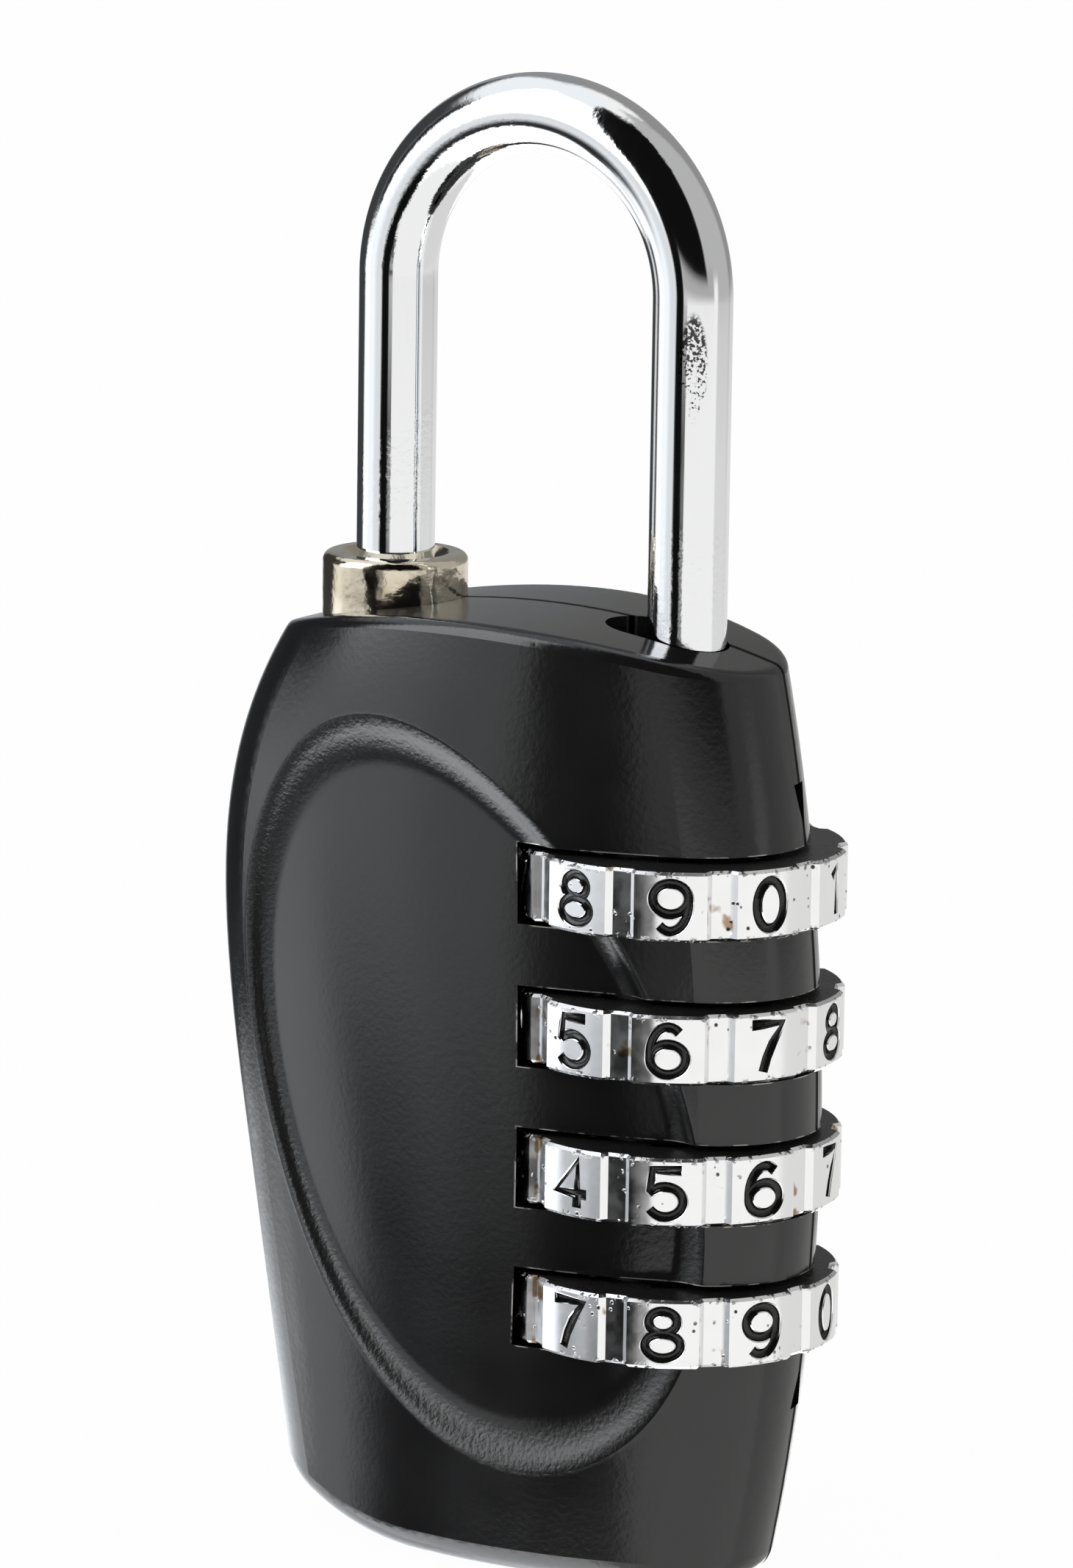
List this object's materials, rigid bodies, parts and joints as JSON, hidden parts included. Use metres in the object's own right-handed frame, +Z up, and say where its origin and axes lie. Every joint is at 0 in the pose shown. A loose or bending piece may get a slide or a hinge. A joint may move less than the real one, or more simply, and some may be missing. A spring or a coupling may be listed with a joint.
{
  "type": "combination padlock",
  "caption": "Combination padlock: cast case with a sunken oval panel, number dials on its side, a bent round shackle that lifts, and a collar round its toe.",
  "frame": {"origin": "middle of the padlock's width and depth, at the foot of its case", "axes": "+Z up along the shackle's legs, -Y out of the front with the oval panel, +X to the side with the dials"},
  "size_m": [0.0348, 0.0164, 0.0752],
  "materials": {
    "black_paint": "satin gloss black paint on cast zinc",
    "chromed_steel": "polished chrome",
    "dial_chrome": "chrome on cast zinc",
    "nickel": "polished nickel with a warm tint",
    "black_steel": "turned and blackened",
    "plain_steel": "plain"
  },
  "bodies": {
    "case": {"front_shell": "black_paint", "rear_shell": "black_paint", "toe_collar": "nickel", "case_pins": "plain_steel", "detent_spring": "plain_steel", "reset_spring": "plain_steel", "thrust_washer": "plain_steel"},
    "shackle": {"shackle": "chromed_steel", "fin_comb": "plain_steel", "spindle_clip": "plain_steel"},
    "dial_1": {"dial_1": "dial_chrome", "sleeve_1": "black_steel"},
    "dial_2": {"dial_2": "dial_chrome", "sleeve_2": "black_steel"},
    "dial_3": {"dial_3": "dial_chrome", "sleeve_3": "black_steel"},
    "dial_4": {"dial_4": "dial_chrome", "sleeve_4": "black_steel"}
  },
  "joints": [
    {"name": "shackle_lift", "type": "slide", "parent": "case", "child": "shackle", "axis": [0, 0, 1], "range_m": [0, 0.0052]},
    {"name": "dial_1_turn", "type": "hinge", "parent": "case", "child": "dial_1", "pos_m": [0.00915, 0, 0.03565], "axis": [0, 0, 1], "continuous": true, "deforming": ["detent_spring"]},
    {"name": "dial_2_turn", "type": "hinge", "parent": "case", "child": "dial_2", "pos_m": [0.00915, 0, 0.02845], "axis": [0, 0, 1], "continuous": true, "deforming": ["detent_spring"]},
    {"name": "dial_3_turn", "type": "hinge", "parent": "case", "child": "dial_3", "pos_m": [0.00915, 0, 0.02125], "axis": [0, 0, 1], "continuous": true, "deforming": ["detent_spring"]},
    {"name": "dial_4_turn", "type": "hinge", "parent": "case", "child": "dial_4", "pos_m": [0.00915, 0, 0.01405], "axis": [0, 0, 1], "continuous": true, "deforming": ["detent_spring"]}
  ]
}
